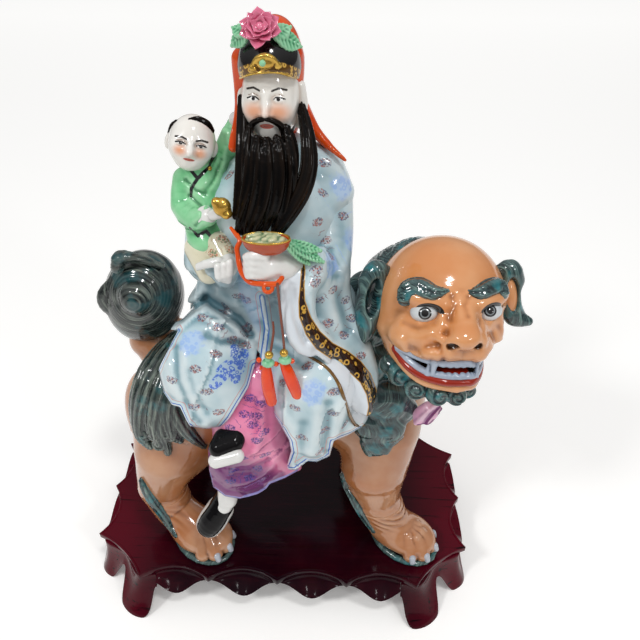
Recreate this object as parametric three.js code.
// A porcelain group of a bearded rider with a child, seated sideways on a guardian lion,
// on its own scalloped lacquered wooden stand. Millimetres, +Z up, the lion's head towards +X
// and the front of the group towards -Y. Origin: middle of the underside of the whole.
import * as THREE from 'three';

// Driving dimensions of the stand
const BOARD_LENGTH = 320;
const BOARD_DEPTH = 178;
const BOARD_THICK = 6;
const STAND_HEIGHT = 45;
const CORNER_CUT_X = 45;
const CORNER_CUT_Y = 38;
const FRONT_SCALLOPS = 4;
const SIDE_SCALLOPS = 2;
const SCALLOP_SAG = 10;
const CORNER_SAG = 5;
const SCALLOP_STEPS = 6;
const APRON_THICK = 5;
const APRON_INSET = 2.5;
const APRON_DROP = 7;
const PENDANT_DROP = 21;
const PENDANT_FLARE = 15;
const LEG_THICK = 8;
const EDGE_FLARE = 4;
const FRONT_LOBE_FLARE = 17;
const SIDE_LOBE_FLARE = 9;
const LEG_INNER_X = 103;
const LEG_INNER_Y = 46;
const LEG_EDGE_DROP = 12;
const LOBE_PLACE = 0.25;
const LOBE_HALF_WIDTH = 0.18;
const LOBE_FLATNESS = 1.35;
const LEG_INSET_X = 6;
const LEG_INSET_Y = 5;
const LEG_CORNER_INSET = 4;
const LEG_STEPS = 16;
const LEG_ROWS = 3;
const APRON_ROWS = 2;
const APRON_STEPS_PER_SCALLOP = 6;
const JOINT_GAP = 0.3;

// Driving dimensions of the figure, measured from the top of the board
const TRUNK = { rear: -80, front: 82, z: 130, halfWidth: 45, halfHeight: 45 };
const PAW = { length: 29, width: 20, height: 14 };
const TOE = { radius: 8, reach: 22, spread: 0.42, setBack: 3 };
const CURL_RADIUS = 12;
const FLOWER = { petals: 6, ring: 6, radius: 6, depth: 5, right: -2, ahead: 10, up: 39 };
const LION_HEAD = { x: 112, y: -32, z: 245, halfWidth: 43, halfDepth: 40, halfHeight: 45 };
const RIDER_HEAD = { x: 4, y: -9, z: 369, halfWidth: 19, halfDepth: 20, halfHeight: 25 };
const CHILD_HEAD = { x: -43, y: -10, z: 346, radius: 14 };
const TAIL_BALL = { x: -99, y: 12, z: 214, halfWidth: 29, halfHeight: 38 };

// The figure is skinned with a net of this spacing, then thinned to this many triangles
const NET_SPACING = { x: 4.6, y: 4.6, z: 4.4 };
const NET_BOX = { low: [-150, -108, -9], high: [192, 80, 430] };
const FIGURE_TRIANGLES = 7700;

// How the skin is drawn onto the clay
const SLOPE_STEP = 0.5;
const DRAWING_PASSES = 3;
const FLAT_SLOPE = 1e-4;
const CELL_REACH = 0.45;
const PINCH_FILL = -0.4;
const SOLE_SNAP = 2;

// How the skin is thinned
const LENGTH_COST = 1e-3;
const SHARE_PER_PASS = 0.2;
const LEAST_AREA = 0.05;
const LEAST_AGREEMENT = 0.3;

const COLOURS = { porcelain: 0xd9cdb8, lacquer: 0x4a0712 };

const lerp = THREE.MathUtils.lerp;
const clamp = THREE.MathUtils.clamp;

// Clay shapes: each is a function giving roughly how far a point lies outside the surface

function egg([cx, cy, cz], [rx, ry, rz], turn = [0, 0, 0]) {
  const euler = new THREE.Euler(...turn.map(THREE.MathUtils.degToRad), 'ZYX');
  const m = new THREE.Matrix4().makeRotationFromEuler(euler).elements;
  return (x, y, z) => {
    const dx = x - cx;
    const dy = y - cy;
    const dz = z - cz;
    const u = (m[0] * dx + m[1] * dy + m[2] * dz) / rx;
    const v = (m[4] * dx + m[5] * dy + m[6] * dz) / ry;
    const w = (m[8] * dx + m[9] * dy + m[10] * dz) / rz;
    const reach = Math.hypot(u, v, w);
    const slope = Math.hypot(u / rx, v / ry, w / rz);
    return reach < 1e-6 ? -Math.min(rx, ry, rz) : reach * (reach - 1) / slope;
  };
}

const ball = (centre, radius) => egg(centre, [radius, radius, radius]);

// A limb of round section through points [x, y, z, radius]
function limb(...stations) {
  return (x, y, z) => {
    let best = Infinity;
    for (let i = 0; i + 1 < stations.length; i += 1) {
      const [ax, ay, az, ar] = stations[i];
      const [bx, by, bz, br] = stations[i + 1];
      const [ex, ey, ez] = [bx - ax, by - ay, bz - az];
      const along = (x - ax) * ex + (y - ay) * ey + (z - az) * ez;
      const t = clamp(along / (ex * ex + ey * ey + ez * ez), 0, 1);
      const away = Math.hypot(x - ax - t * ex, y - ay - t * ey, z - az - t * ez);
      best = Math.min(best, away - lerp(ar, br, t));
    }
    return best;
  };
}

// A turned form of oval sections [z, centre x, centre y, half width, half depth], lowest first
function stack(...rows) {
  const bottom = rows[0][0];
  const top = rows[rows.length - 1][0];
  return (x, y, z) => {
    const level = clamp(z, bottom, top);
    let i = 0;
    while (i + 2 < rows.length && level > rows[i + 1][0]) i += 1;
    const t = (level - rows[i][0]) / (rows[i + 1][0] - rows[i][0]);
    const ease = t * t * (3 - 2 * t);
    const [cx, cy, rx, ry] = [1, 2, 3, 4].map((k) => lerp(rows[i][k], rows[i + 1][k], ease));
    const reach = Math.hypot((x - cx) / rx, (y - cy) / ry);
    const side = (reach - 1) * Math.min(rx, ry);
    const end = Math.abs(z - level);
    return end > 0 ? Math.hypot(Math.max(side, 0), end) : side;
  };
}

// Shapes run together with a fillet of about the given size
function blend(size, ...shapes) {
  return (x, y, z) => {
    let total = shapes[0](x, y, z);
    for (let i = 1; i < shapes.length; i += 1) {
      const other = shapes[i](x, y, z);
      const near = Math.max(size - Math.abs(total - other), 0) / size;
      total = Math.min(total, other) - near * near * size / 4;
    }
    return total;
  };
}

const join = (...shapes) => (x, y, z) => {
  let best = Infinity;
  for (const shape of shapes) best = Math.min(best, shape(x, y, z));
  return best;
};

const carve = (shape, tool) => (x, y, z) => Math.max(shape(x, y, z), -tool(x, y, z));

// Away from its box a shape is only as near as the box is: this spares work
function within([x0, y0, z0], [x1, y1, z1], shape) {
  const spare = 14;
  return (x, y, z) => {
    const away = Math.hypot(
      Math.max(x0 - x, 0, x - x1), Math.max(y0 - y, 0, y - y1), Math.max(z0 - z, 0, z - z1));
    return away > spare ? away : shape(x, y, z);
  };
}

// Raises or sinks a surface by a height that depends on the place
const emboss = (shape, height) => (x, y, z) => shape(x, y, z) - height(x, y, z);

// Lion

function lionLeg(side, hind) {
  const s = side;
  if (hind) {
    return blend(12,
      egg([-82, s * 28, 122], [34, 22, 58], [0, -8, 0]),
      limb([-90, s * 32, 90, 26], [-101, s * 33, 50, 20], [-93, s * 38, 26, 17], [-74, s * 50, 14, 15]),
      egg([-66, s * 52, 11], [PAW.length, PAW.width, PAW.height], [0, 0, s * 25]));
  }
  const step = s < 0 ? 0 : -24;
  return blend(12,
    limb(
      [80, s * 24, 120, 31], [77, s * 32, 84, 27],
      [79 + step / 3, s * 36, 52, 20.5], [90 + step, s * 40, 24, 18]),
    egg([107 + step, s * 46, 11], [PAW.length, PAW.width, PAW.height], [0, 0, s * 28]));
}

// Four toes fanned round the front of a paw
function toes(x, y, turn) {
  const across = THREE.MathUtils.degToRad(turn);
  return join(...[-1.5, -0.5, 0.5, 1.5].map((place) => {
    const reach = TOE.reach - Math.abs(place) * TOE.setBack;
    const angle = across + place * TOE.spread;
    return ball([x + Math.cos(angle) * reach, y + Math.sin(angle) * reach, TOE.radius], TOE.radius);
  }));
}

function lionBody() {
  const { rear, front, z, halfWidth, halfHeight } = TRUNK;
  const trunk = blend(20,
    egg([rear + 12, 0, z - 2], [42, halfWidth, 49]),
    egg([0, 0, z + 2], [80, halfWidth, halfHeight]),
    egg([front - 12, 0, z + 4], [46, halfWidth - 1, 50]));
  const breast = egg([116, 12, 104], [10, 15, 25], [0, -14, 0]);
  const legs = [lionLeg(-1, true), lionLeg(1, true), lionLeg(-1, false), lionLeg(1, false)];
  const paws = [toes(-66, -52, -42), toes(-66, 52, 42), toes(107, -46, -38), toes(83, 46, 38)];
  return blend(10, trunk, ...legs, breast, ...paws);
}

function tail() {
  const { x, y, z, halfWidth, halfHeight } = TAIL_BALL;
  const puff = egg([x, y, z], [halfWidth, halfWidth - 2, halfHeight], [0, 14, 0]);
  const swirl = (px, py, pz) => {
    const angle = Math.atan2(pz - z, px - x);
    const reach = Math.hypot(px - x, pz - z);
    return 1.6 * Math.cos(3 * angle + reach * 0.16);
  };
  const locks = join(ball([x - 13, y - 12, z + 24], 11), ball([x - 19, y - 10, z - 6], 11));
  const root = limb([-88, 10, 168, 20], [x + 3, y, z - 22, 17]);
  return blend(8, emboss(puff, swirl), locks, root);
}

function mane() {
  const neck = egg([86, -2, 198], [36, 42, 68]);
  const chest = egg([86, -14, 142], [31, 37, 44]);
  const rows = [[236, -40, 60], [205, -47, 62], [172, -50, 66], [140, -46, 76]];
  const curls = rows.map(([z, y, x]) => ball([x, y + 8, z], CURL_RADIUS + 1));
  const bib = [[72, -44, 118], [92, -50, 128], [106, -44, 144], [84, -52, 152]];
  const tufts = bib.map((place) => ball(place, CURL_RADIUS));
  const nape = [[74, 32, 226], [68, 38, 194], [72, 38, 160], [90, 36, 132]];
  const back = nape.map((place) => ball(place, CURL_RADIUS));
  return blend(9, neck, chest, ...curls, ...tufts, ...back);
}

function lionHead() {
  const { x, y, z, halfWidth, halfDepth, halfHeight } = LION_HEAD;
  const skull = blend(14,
    egg([x, y, z + 4], [halfWidth, halfDepth, halfHeight]),
    egg([x + 2, y - 12, z - 22], [halfWidth, 32, 26]),
    egg([x + 6, y - 36, z - 12], [27, 20, 16]));
  const jaw = egg([x + 4, y - 22, z - 36], [31, 27, 14], [-10, 0, 0]);
  const mouth = egg([x + 2, y - 54, z - 27], [30, 21, 7.5], [-8, 0, 4]);
  const brows = [-1, 1].map((s) => limb(
    [x + 5 + s * 8, y - 42, z + 20, 6], [x + 5 + s * 21, y - 38, z + 26, 7], [x + 5 + s * 32, y - 26, z + 20, 6]));
  const eyes = [-1, 1].map((s) => ball([x + 5 + s * 19, y - 34, z + 12], 9.5));
  const nose = egg([x + 9, y - 53, z + 4], [13, 9, 8]);
  const tuft = egg([x + 6, y - 28, z - 49], [14, 9, 12]);
  const ears = [
    egg([x - 45, y + 14, z + 2], [8, 16, 28], [0, 12, -20]),
    egg([x + 46, y - 2, z + 6], [11, 10, 27], [0, -32, 0])];
  const face = carve(blend(5, skull, jaw, ...brows, ...eyes, nose), mouth);
  return blend(6, face, tuft, ...ears);
}

// Rider

function robe() {
  const torso = stack(
    [176, 0, -6, 66, 46], [215, 0, -6, 59, 44], [250, 0, -2, 51, 36],
    [290, 1, 0, 49, 31], [310, 2, 0, 45, 27], [328, 3, 0, 26, 20], [342, 4, 0, 14, 14]);
  const lap = blend(14,
    limb([-30, -4, 205, 34], [-44, -46, 205, 31], [-50, -58, 184, 19]),
    limb([26, -4, 205, 34], [32, -58, 202, 29], [28, -64, 165, 24], [24, -66, 138, 13]),
    limb([50, -30, 190, 26], [52, -50, 172, 15]));
  const saddle = egg([-2, 0, 150], [72, 53, 46]);
  const sleeve = blend(8,
    limb([34, -2, 300, 18], [36, -24, 272, 20], [30, -46, 284, 13]),
    limb([34, -36, 266, 17], [46, -46, 228, 15], [60, -54, 196, 11], [60, -60, 174, 6]));
  const chest = egg([2, -16, 298], [37, 27, 36]);
  const childArm = limb([-34, -4, 300, 17], [-38, -18, 270, 17], [-26, -44, 277, 10]);
  const pleats = (x, y, z) => {
    const fade = clamp((255 - z) / 60, 0, 1) * (y > -10 ? 1 : 0.4);
    return 1.8 * fade * Math.sin(x * 0.36 + z * 0.04);
  };
  return emboss(blend(12, torso, chest, lap, saddle, sleeve, childArm), pleats);
}

function skirtAndShoes() {
  const skirt = blend(12,
    limb([-6, -52, 195, 26], [-20, -58, 150, 27], [-28, -58, 112, 20]),
    limb([-4, -52, 130, 22], [2, -54, 108, 17]));
  const folds = (x, y, z) => 1.5 * Math.cos(x * 0.36 + z * 0.1);
  const upperShoe = limb([-39, -84, 152, 10], [-21, -82, 157, 10]);
  const lowerShoe = limb([-37, -68, 88, 10], [-44, -74, 68, 11], [-55, -77, 53, 10]);
  return join(emboss(skirt, folds), upperShoe, lowerShoe);
}

function riderHead() {
  const { x, y, z, halfWidth, halfDepth, halfHeight } = RIDER_HEAD;
  const head = egg([x, y, z], [halfWidth, halfDepth, halfHeight]);
  const nose = egg([x, y - 20, z - 4], [4, 5, 7]);
  const hair = stack(
    [306, 1, -48, 11, 9], [318, 2, -44, 19, 12], [332, 5, -34, 23, 15],
    [350, 5, -24, 22, 18], [362, 4, -10, 20, 18]);
  const strands = (px, py, pz) => 0.9 * Math.cos((px - x) * 0.9 + (pz - z) * 0.05);
  return join(blend(3, head, nose), emboss(hair, strands));
}

function headdress() {
  const { x, y, z } = RIDER_HEAD;
  const crown = blend(6,
    egg([x, y + 4, z + 20], [20, 21, 20]),
    egg([x + 6, y + 6, z + 30], [12, 13, 12]));
  const veil = blend(6,
    limb([x - 14, y + 8, z + 10, 7], [x - 16, y + 10, z - 20, 7], [x - 21, y + 6, z - 34, 5]),
    limb(
      [x + 13, y + 8, z + 10, 7], [x + 16, y + 10, z - 12, 7],
      [x + 24, y + 10, z - 24, 6.5], [x + 39, y + 8, z - 37, 5]),
    egg([x, y + 16, z - 4], [18, 12, 32]));
  const petals = Array.from({ length: FLOWER.petals }, (unused, i) => {
    const angle = i * 2 * Math.PI / FLOWER.petals;
    const across = FLOWER.right + FLOWER.ring * Math.cos(angle);
    const up = FLOWER.up + FLOWER.ring * Math.sin(angle);
    return egg([x + across, y - FLOWER.ahead, z + up], [FLOWER.radius, FLOWER.depth, FLOWER.radius]);
  });
  return blend(4, crown, veil, ...petals);
}

function hands() {
  const bowl = egg([4, -62, 309], [14, 9, 6]);
  const holding = blend(4,
    limb([30, -52, 286, 9], [12, -60, 290, 8]),
    egg([2, -61, 292], [10, 8, 10]));
  const under = egg([-24, -46, 279], [11, 8, 7]);
  const leaf = egg([27, -54, 302], [14, 4, 7], [0, 32, 0]);
  const peppers = [[4, -76], [15, -77]].map(([x, y]) => limb([x, y, 231, 4.5], [x + 3, y - 4, 202, 4.5]));
  return join(bowl, holding, under, leaf, ...peppers);
}

function child() {
  const { x, y, z, radius } = CHILD_HEAD;
  const head = blend(3,
    ball([x, y, z], radius),
    ball([x - radius, y + 1, z - 4], 4),
    ball([x + radius, y + 1, z], 4));
  const body = stack(
    [270, -32, -30, 12, 11], [290, -33, -26, 17, 15], [305, -37, -17, 16, 14],
    [322, -39, -12, 14, 12], [334, -41, -10, 8, 8]);
  const arms = join(
    limb([-46, -10, 321, 7.5], [-46, -20, 306, 7.5], [-30, -34, 312, 6.5], [-23, -38, 319, 5]),
    limb([-36, -4, 322, 8], [-22, 4, 346, 7]));
  const legs = join(
    limb([-42, -28, 284, 9], [-36, -38, 272, 7]),
    limb([-30, -32, 290, 9], [-24, -44, 284, 6]));
  return blend(4, head, body, arms, legs);
}

// The figure: all of it one fired body, flat under its paws

function figureField() {
  const clay = blend(3,
    within([-132, -75, 0], [140, 75, 185], lionBody()),
    within([-134, -20, 145], [-62, 45, 256], tail()),
    within([48, -66, 94], [124, 58, 268], mane()),
    within([54, -94, 178], [182, 14, 302], lionHead()),
    within([-84, -96, 98], [82, 54, 345], robe()),
    within([-68, -98, 38], [28, -24, 226], skirtAndShoes()),
    within([-26, -60, 300], [34, 20, 396], riderHead()),
    within([-36, -18, 322], [56, 34, 416], headdress()),
    within([-38, -86, 196], [46, -38, 318], hands()),
    within([-66, -52, 262], [-10, 14, 364], child()));
  return (x, y, z) => Math.max(clay(x, y, z), JOINT_GAP - z);
}

function netLines(start, stop, spacing) {
  const count = Math.round((stop - start) / spacing);
  return Array.from({ length: count + 1 }, (unused, k) => lerp(start, stop, k / count));
}

// Skins a field with one vertex in each crossed cell of the net, drawn onto the surface
function skin(field, xs, ys, zs) {
  const [nx, ny, nz] = [xs.length, ys.length, zs.length];
  const at = (i, j, k) => (i * ny + j) * nz + k;
  const value = new Float64Array(nx * ny * nz);
  for (let i = 0; i < nx; i += 1) {
    for (let j = 0; j < ny; j += 1) {
      for (let k = 0; k < nz; k += 1) value[at(i, j, k)] = field(xs[i], ys[j], zs[k]);
    }
  }
  const corners = [];
  for (let c = 0; c < 8; c += 1) corners.push([c & 1, (c >> 1) & 1, (c >> 2) & 1]);
  fillPinches(value, corners, at, nx, ny, nz);
  const points = [];
  const cellPoint = new Map();
  for (let i = 0; i + 1 < nx; i += 1) {
    for (let j = 0; j + 1 < ny; j += 1) {
      for (let k = 0; k + 1 < nz; k += 1) {
        const inside = corners.map(([a, b, c]) => value[at(i + a, j + b, k + c)] < 0);
        if (inside.every(Boolean) || !inside.some(Boolean)) continue;
        const middle = crossingMiddle(value, inside, corners, at, [i, j, k], [xs, ys, zs]);
        const reach = CELL_REACH * Math.min(xs[i + 1] - xs[i], ys[j + 1] - ys[j], zs[k + 1] - zs[k]);
        cellPoint.set(at(i, j, k), points.length);
        points.push(drawOn(field, middle, reach));
      }
    }
  }
  const faces = [];
  const quad = (a, b, c, d, flip) => {
    const ids = [a, b, c, d].map((cell) => cellPoint.get(cell));
    const order = flip ? [ids[0], ids[3], ids[2], ids[1]] : ids;
    const [p, q, r, s] = order.map((id) => points[id]);
    const split = p.distanceTo(r) <= q.distanceTo(s);
    const [e, f, g, h] = order;
    if (split) faces.push(e, f, g, e, g, h);
    else faces.push(e, f, h, f, g, h);
  };
  for (let i = 1; i + 1 < nx; i += 1) {
    for (let j = 1; j + 1 < ny; j += 1) {
      for (let k = 1; k + 1 < nz; k += 1) {
        const here = value[at(i, j, k)] < 0;
        if (here !== value[at(i + 1, j, k)] < 0) {
          quad(at(i, j - 1, k - 1), at(i, j, k - 1), at(i, j, k), at(i, j - 1, k), !here);
        }
        if (here !== value[at(i, j + 1, k)] < 0) {
          quad(at(i - 1, j, k - 1), at(i - 1, j, k), at(i, j, k), at(i, j, k - 1), !here);
        }
        if (here !== value[at(i, j, k + 1)] < 0) {
          quad(at(i - 1, j - 1, k), at(i, j - 1, k), at(i, j, k), at(i - 1, j, k), !here);
        }
      }
    }
  }
  return { points, faces };
}

// A cell whose inner or outer corners fall into two lots would pinch the skin: it is filled a little
function fillPinches(value, corners, at, nx, ny, nz) {
  const oneLot = (flags, wanted) => {
    const members = flags.map((flag, c) => (flag === wanted ? c : -1)).filter((c) => c >= 0);
    if (members.length < 2) return true;
    const seen = new Set([members[0]]);
    for (const c of seen) {
      for (const bit of [1, 2, 4]) if (flags[c ^ bit] === wanted) seen.add(c ^ bit);
    }
    return seen.size === members.length;
  };
  let changed = true;
  while (changed) {
    changed = false;
    for (let i = 0; i + 1 < nx; i += 1) {
      for (let j = 0; j + 1 < ny; j += 1) {
        for (let k = 0; k + 1 < nz; k += 1) {
          const cells = corners.map(([a, b, c]) => at(i + a, j + b, k + c));
          const inside = cells.map((cell) => value[cell] < 0);
          if (oneLot(inside, true) && oneLot(inside, false)) continue;
          const outer = cells.filter((cell) => value[cell] >= 0);
          outer.sort((a, b) => value[a] - value[b]);
          value[outer[0]] = PINCH_FILL;
          changed = true;
        }
      }
    }
  }
}

function crossingMiddle(value, inside, corners, at, [i, j, k], [xs, ys, zs]) {
  const sum = new THREE.Vector3();
  let count = 0;
  for (let c = 0; c < 8; c += 1) {
    for (const bit of [1, 2, 4]) {
      const d = c | bit;
      if (d === c || inside[c] === inside[d]) continue;
      const [p, q] = [corners[c], corners[d]];
      const vp = value[at(i + p[0], j + p[1], k + p[2])];
      const vq = value[at(i + q[0], j + q[1], k + q[2])];
      const t = vp / (vp - vq);
      const from = new THREE.Vector3(xs[i + p[0]], ys[j + p[1]], zs[k + p[2]]);
      const to = new THREE.Vector3(xs[i + q[0]], ys[j + q[1]], zs[k + q[2]]);
      sum.add(from.lerp(to, t));
      count += 1;
    }
  }
  return sum.divideScalar(count);
}

function drawOn(field, start, reach) {
  const h = SLOPE_STEP;
  const point = start.clone();
  for (let pass = 0; pass < DRAWING_PASSES; pass += 1) {
    const { x, y, z } = point;
    const slope = new THREE.Vector3(
      field(x + h, y, z) - field(x - h, y, z),
      field(x, y + h, z) - field(x, y - h, z),
      field(x, y, z + h) - field(x, y, z - h)).divideScalar(2 * h);
    const steep = slope.lengthSq();
    if (steep < FLAT_SLOPE) break;
    point.addScaledVector(slope, -field(x, y, z) / steep);
    const shift = point.clone().sub(start).clampLength(0, reach);
    point.copy(start).add(shift);
  }
  if (point.z < JOINT_GAP + SOLE_SNAP) point.z = JOINT_GAP;
  return point;
}

// Thins a closed skin to a number of triangles by drawing together the edges that matter least:
// each point gathers the planes of its faces, and an edge costs what its middle strays from them
function thin({ points, faces }, wanted) {
  const planes = points.map(() => new Float64Array(10));
  const triangles = [];
  for (let i = 0; i < faces.length; i += 3) triangles.push(faces.slice(i, i + 3));
  const around = points.map(() => new Set());
  const normalOf = ([a, b, c], moved, place) => {
    const [p, q, r] = [a, b, c].map((id) => (moved.includes(id) ? place : points[id]));
    return q.clone().sub(p).cross(r.clone().sub(p));
  };
  triangles.forEach((triangle, id) => {
    const normal = normalOf(triangle, [], null);
    const area = normal.length();
    if (area > 1e-9) normal.divideScalar(area);
    const n = [normal.x, normal.y, normal.z, -normal.dot(points[triangle[0]])];
    for (const corner of triangle) {
      around[corner].add(id);
      let slot = 0;
      for (let a = 0; a < 4; a += 1) {
        for (let b = a; b < 4; b += 1) planes[corner][slot++] += n[a] * n[b] * area;
      }
    }
  });
  const strays = (p, q, place) => {
    const v = [place.x, place.y, place.z, 1];
    let total = 0;
    let slot = 0;
    for (let a = 0; a < 4; a += 1) {
      for (let b = a; b < 4; b += 1) {
        total += (a === b ? 1 : 2) * v[a] * v[b] * (planes[p][slot] + planes[q][slot]);
        slot += 1;
      }
    }
    return total;
  };
  const onFoot = (id) => points[id].z <= JOINT_GAP;
  const meeting = (p, q) => {
    const middle = points[p].clone().add(points[q]).multiplyScalar(0.5);
    if (onFoot(p) !== onFoot(q)) return points[onFoot(p) ? p : q].clone();
    const choices = [middle, points[p].clone(), points[q].clone()];
    return choices.reduce((best, place) => (strays(p, q, place) < strays(p, q, best) ? place : best));
  };
  const neighbours = (id) => {
    const ring = new Set();
    for (const face of around[id]) for (const corner of triangles[face]) ring.add(corner);
    ring.delete(id);
    return ring;
  };
  const mayMeet = (p, q, place) => {
    const ringQ = neighbours(q);
    let shared = 0;
    for (const id of neighbours(p)) if (ringQ.has(id)) shared += 1;
    if (shared !== 2) return false;
    for (const id of [...around[p], ...around[q]]) {
      const triangle = triangles[id];
      if (triangle.includes(p) && triangle.includes(q)) continue;
      const before = normalOf(triangle, [], null);
      const after = normalOf(triangle, [p, q], place);
      const agreement = before.normalize().dot(after.clone().normalize());
      if (after.length() < LEAST_AREA || agreement < LEAST_AGREEMENT) return false;
    }
    return true;
  };
  let live = triangles.length;
  while (live > wanted) {
    const edges = [];
    triangles.forEach((triangle) => {
      if (!triangle) return;
      triangle.forEach((p, k) => {
        const q = triangle[(k + 1) % 3];
        if (p > q) return;
        const cost = strays(p, q, meeting(p, q)) + LENGTH_COST * points[p].distanceToSquared(points[q]);
        edges.push([p, q, cost]);
      });
    });
    edges.sort((a, b) => a[2] - b[2]);
    const touched = new Set();
    const before = live;
    for (const [p, q] of edges.slice(0, Math.ceil(edges.length * SHARE_PER_PASS))) {
      if (live <= wanted) break;
      if (touched.has(p) || touched.has(q)) continue;
      const place = meeting(p, q);
      if (!mayMeet(p, q, place)) continue;
      for (const id of [...neighbours(p), ...neighbours(q)]) touched.add(id);
      points[p].copy(place);
      planes[p].forEach((value, slot) => { planes[p][slot] = value + planes[q][slot]; });
      for (const id of around[q]) {
        const triangle = triangles[id];
        if (triangle.includes(p)) {
          for (const corner of triangle) around[corner].delete(id);
          triangles[id] = null;
          live -= 1;
        } else {
          triangle[triangle.indexOf(q)] = p;
          around[p].add(id);
        }
      }
      around[q].clear();
    }
    if (live === before) break;
  }
  const kept = triangles.filter(Boolean).flat();
  const numbering = new Map();
  const positions = [];
  const index = kept.map((id) => {
    if (!numbering.has(id)) {
      numbering.set(id, numbering.size);
      positions.push(...points[id].toArray());
    }
    return numbering.get(id);
  });
  const geometry = new THREE.BufferGeometry();
  geometry.setAttribute('position', new THREE.Float32BufferAttribute(positions, 3));
  geometry.setIndex(index);
  return geometry;
}

// Stand

function arcPoints(from, to, sag, steps) {
  const chord = to.clone().sub(from);
  const inward = new THREE.Vector2(-chord.y, chord.x).normalize();
  const points = [];
  for (let i = 0; i < steps; i += 1) {
    const t = i / steps;
    const bow = sag * 4 * t * (1 - t);
    points.push(from.clone().addScaledVector(chord, t).addScaledVector(inward, bow));
  }
  return points;
}

// The tips of the scallops, anticlockwise from the front left
function boardTips() {
  const halfX = BOARD_LENGTH / 2;
  const halfY = BOARD_DEPTH / 2;
  const tips = [];
  for (let i = 0; i <= FRONT_SCALLOPS; i += 1) {
    tips.push(new THREE.Vector2(lerp(-1, 1, i / FRONT_SCALLOPS) * (halfX - CORNER_CUT_X), -halfY));
  }
  for (let i = 0; i <= SIDE_SCALLOPS; i += 1) {
    tips.push(new THREE.Vector2(halfX, lerp(-1, 1, i / SIDE_SCALLOPS) * (halfY - CORNER_CUT_Y)));
  }
  return [...tips, ...tips.map((tip) => tip.clone().negate())];
}

function boardGeometry() {
  const tips = boardTips();
  const isCorner = (i) => i === FRONT_SCALLOPS || i === FRONT_SCALLOPS + SIDE_SCALLOPS + 1;
  const half = tips.length / 2;
  const outline = tips.flatMap((tip, i) => {
    const sag = isCorner(i % half) ? CORNER_SAG : SCALLOP_SAG;
    return arcPoints(tip, tips[(i + 1) % tips.length], sag, SCALLOP_STEPS);
  });
  const shape = new THREE.Shape(outline);
  const geometry = new THREE.ExtrudeGeometry(shape, { depth: BOARD_THICK, bevelEnabled: false });
  geometry.translate(0, 0, -BOARD_THICK);
  return geometry;
}

// A bent plate: at each step along it, a top point, an outward direction, a drop and a flare
function bentPlate(steps, thick, rows) {
  const positions = [];
  const faces = [];
  const top = -BOARD_THICK - JOINT_GAP;
  const loop = 2 * (rows + 1);
  for (const { x, y, out, drop, flare } of steps) {
    const ring = [];
    for (let r = 0; r <= rows; r += 1) {
      const t = r / rows;
      const push = flare * t * t;
      ring.push([x + out.x * push, y + out.y * push, top - drop * t]);
    }
    for (let r = rows; r >= 0; r -= 1) {
      const [px, py, pz] = ring[r];
      ring.push([px - out.x * thick, py - out.y * thick, pz]);
    }
    positions.push(...ring.flat());
  }
  for (let s = 0; s + 1 < steps.length; s += 1) {
    for (let r = 0; r < loop; r += 1) {
      const next = (r + 1) % loop;
      const [a, b] = [s * loop + r, s * loop + next];
      faces.push(a, b, b + loop, a, b + loop, a + loop);
    }
  }
  const last = (steps.length - 1) * loop;
  for (let r = 0; r < rows; r += 1) {
    const back = loop - 1 - r;
    faces.push(r, back, back - 1, r, back - 1, r + 1);
    faces.push(last + r, last + back - 1, last + back, last + r, last + r + 1, last + back - 1);
  }
  const geometry = new THREE.BufferGeometry();
  geometry.setAttribute('position', new THREE.Float32BufferAttribute(positions, 3));
  geometry.setIndex(faces);
  return geometry;
}

// Along one straight side the apron follows the scallops at its top and hangs in pendants
function apronGeometry(halfSpan, edge, pitch) {
  const count = Math.round(2 * halfSpan / pitch * APRON_STEPS_PER_SCALLOP);
  const steps = [];
  for (let i = 0; i <= count; i += 1) {
    const x = lerp(-halfSpan, halfSpan, i / count);
    const wave = Math.abs(Math.sin(Math.PI * x / pitch));
    const lobe = wave ** 2;
    steps.push({
      x,
      y: -(edge - SCALLOP_SAG * lobe - APRON_INSET),
      out: new THREE.Vector2(0, -1),
      drop: lerp(APRON_DROP, PENDANT_DROP, wave ** 3) - BOARD_THICK,
      flare: PENDANT_FLARE * lobe,
    });
  }
  return bentPlate(steps, APRON_THICK, APRON_ROWS);
}

// A corner leg: a plate bent round the cut corner, with a pointed lobe on each wing
function legGeometry() {
  const halfX = BOARD_LENGTH / 2;
  const halfY = BOARD_DEPTH / 2;
  const sideX = halfX - LEG_INSET_X;
  const frontY = halfY - LEG_INSET_Y;
  const path = new THREE.CatmullRomCurve3([
    new THREE.Vector3(-sideX, -LEG_INNER_Y, 0),
    new THREE.Vector3(-sideX, -(halfY - CORNER_CUT_Y) - LEG_CORNER_INSET, 0),
    new THREE.Vector3(
      -(halfX - CORNER_CUT_X / 2) + LEG_CORNER_INSET, -(halfY - CORNER_CUT_Y / 2) + LEG_CORNER_INSET, 0),
    new THREE.Vector3(-(halfX - CORNER_CUT_X) - LEG_CORNER_INSET, -frontY, 0),
    new THREE.Vector3(-LEG_INNER_X, -frontY, 0),
  ]);
  const full = STAND_HEIGHT - BOARD_THICK - JOINT_GAP;
  const steps = [];
  for (let i = 0; i <= LEG_STEPS; i += 1) {
    const t = i / LEG_STEPS;
    const { x, y } = path.getPoint(t);
    const tangent = path.getTangent(t);
    const fromTip = Math.abs(Math.abs(t - 0.5) - LOBE_PLACE);
    const reach = clamp(LOBE_FLATNESS - fromTip / LOBE_HALF_WIDTH, 0, 1);
    steps.push({
      x,
      y,
      out: new THREE.Vector2(tangent.y, -tangent.x).normalize(),
      drop: lerp(LEG_EDGE_DROP, full, reach),
      flare: lerp(EDGE_FLARE, t < 0.5 ? SIDE_LOBE_FLARE : FRONT_LOBE_FLARE, reach),
    });
  }
  return bentPlate(steps, LEG_THICK, LEG_ROWS);
}

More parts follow.
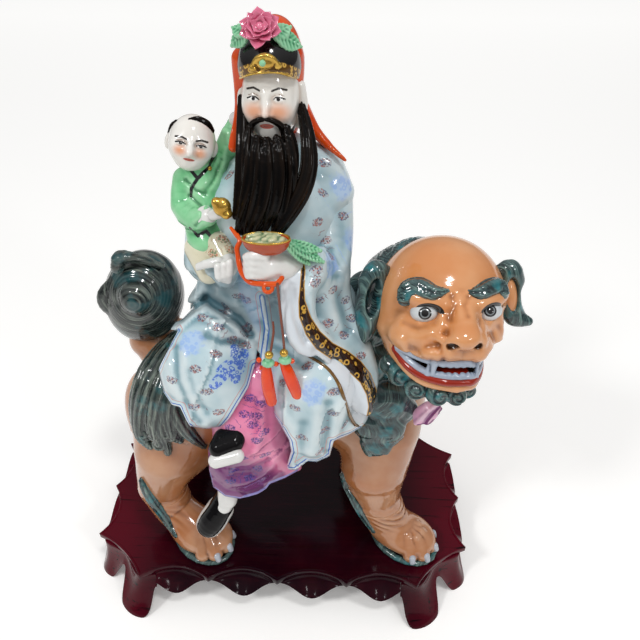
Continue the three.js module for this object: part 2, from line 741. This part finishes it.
function mirrored(geometry, sx, sy) {
  const copy = geometry.clone();
  copy.scale(sx, sy, 1);
  if (sx * sy < 0) {
    const index = Array.from(copy.getIndex().array);
    for (let i = 0; i < index.length; i += 3) [index[i], index[i + 1]] = [index[i + 1], index[i]];
    copy.setIndex(index);
  }
  return copy;
}

function piece(name, geometry, material) {
  const mesh = new THREE.Mesh(geometry, material);
  mesh.name = name;
  return mesh;
}

const porcelain = new THREE.MeshStandardMaterial({ color: COLOURS.porcelain, roughness: 0.15, metalness: 0 });
const lacquer = new THREE.MeshStandardMaterial({ color: COLOURS.lacquer, roughness: 0.22, metalness: 0 });

const group = new THREE.Group();
const [netX, netY, netZ] = ['x', 'y', 'z'].map(
  (axis, k) => netLines(NET_BOX.low[k], NET_BOX.high[k], NET_SPACING[axis]));
const figure = thin(skin(figureField(), netX, netY, netZ), FIGURE_TRIANGLES);
group.add(piece('porcelain_figure', figure, porcelain));
group.add(piece('stand_board', boardGeometry(), lacquer));

const frontPitch = (BOARD_LENGTH - 2 * CORNER_CUT_X) / FRONT_SCALLOPS;
const sidePitch = (BOARD_DEPTH - 2 * CORNER_CUT_Y) / SIDE_SCALLOPS;
const frontApron = apronGeometry(LEG_INNER_X - JOINT_GAP, BOARD_DEPTH / 2, frontPitch);
const sideApron = apronGeometry(LEG_INNER_Y - JOINT_GAP, BOARD_LENGTH / 2, sidePitch);
const apronSides = [
  ['stand_apron_front', frontApron, 0], ['stand_apron_back', frontApron, 180],
  ['stand_apron_left', sideApron, -90], ['stand_apron_right', sideApron, 90]];
for (const [name, geometry, turn] of apronSides) {
  const copy = geometry.clone().rotateZ(THREE.MathUtils.degToRad(turn));
  group.add(piece(name, copy, lacquer));
}

const legCorners = [
  ['stand_leg_front_left', 1, 1], ['stand_leg_front_right', -1, 1],
  ['stand_leg_back_left', 1, -1], ['stand_leg_back_right', -1, -1]];
const leg = legGeometry();
for (const [name, sx, sy] of legCorners) {
  group.add(piece(name, mirrored(leg, sx, sy), lacquer));
}

// The whole is lifted onto its legs and centred over the origin
const bounds = new THREE.Box3().setFromObject(group);
const middle = bounds.getCenter(new THREE.Vector3());
group.position.set(-middle.x, -middle.y, -bounds.min.z);

export default group;
